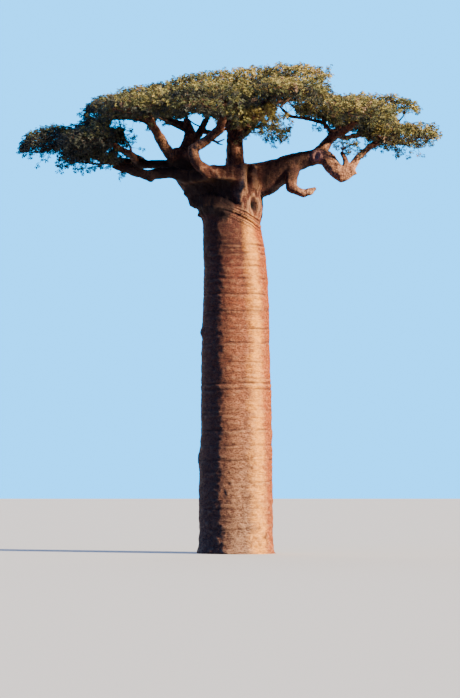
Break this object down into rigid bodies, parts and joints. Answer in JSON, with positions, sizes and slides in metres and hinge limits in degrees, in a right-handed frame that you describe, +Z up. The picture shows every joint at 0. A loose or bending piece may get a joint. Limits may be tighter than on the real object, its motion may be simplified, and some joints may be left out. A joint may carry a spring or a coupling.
{
  "type": "baobab tree",
  "caption": "Tall baobab tree: thick bottle-straight bole, short wide head, crooked boughs with one hooked over the front, and a flat spreading crown of separate foliage masses.",
  "frame": {"origin": "middle of the flat cut under the trunk, at ground level", "axes": "+Z up along the trunk, +X to the right and +Y away from the viewer in the front view"},
  "size_m": [18.6978, 12.9041, 21.354],
  "materials": {
    "bark": "smooth fibrous bark, copper brown to grey, with fine rings, folds and pits",
    "foliage": "small olive green leaves in fans of a few leaflets, dull above and paler below"
  },
  "bodies": {
    "root": {"back_bough": "bark", "back_left_arm": "bark", "back_right_arm": "bark", "centre_bough": "bark", "centre_low_arm": "bark", "centre_right_arm": "bark", "foliage_back_centre": "foliage", "foliage_back_left": "foliage", "foliage_back_middle": "foliage", "foliage_back_right": "foliage", "foliage_centre_low": "foliage", "foliage_far_left": "foliage", "foliage_front_left": "foliage", "foliage_front_middle": "foliage", "foliage_front_right": "foliage", "foliage_left_back": "foliage", "foliage_left_front": "foliage", "foliage_left_inner": "foliage", "foliage_left_low": "foliage", "foliage_left_middle": "foliage", "foliage_right_back": "foliage", "foliage_right_front": "foliage", "foliage_right_inner": "foliage", "foliage_right_middle": "foliage", "foliage_right_outer": "foliage", "foliage_right_small": "foliage", "foliage_right_top": "foliage", "foliage_top_centre": "foliage", "foliage_top_left": "foliage", "foliage_top_middle": "foliage", "foliage_top_right": "foliage", "foliage_upper_left": "foliage", "front_hook_arm": "bark", "front_hook_bough": "bark", "front_right_arm": "bark", "left_bough": "bark", "left_cross_arm": "bark", "left_front_arm": "bark", "left_inner_bough": "bark", "left_middle_arm": "bark", "left_outer_bough": "bark", "left_right_arm": "bark", "low_left_back_arm": "bark", "low_left_bough": "bark", "low_left_front_arm": "bark", "low_left_prop": "bark", "low_left_sprout": "bark", "right_back_arm": "bark", "right_back_outer_arm": "bark", "right_bough": "bark", "right_broken_stub": "bark", "right_dip_bough": "bark", "right_front_arm": "bark", "right_outer_bough": "bark", "right_small_arm": "bark", "right_thin_arm": "bark", "right_upper_bough": "bark", "trunk": "bark", "upper_left_arm": "bark"}
  },
  "joints": []
}
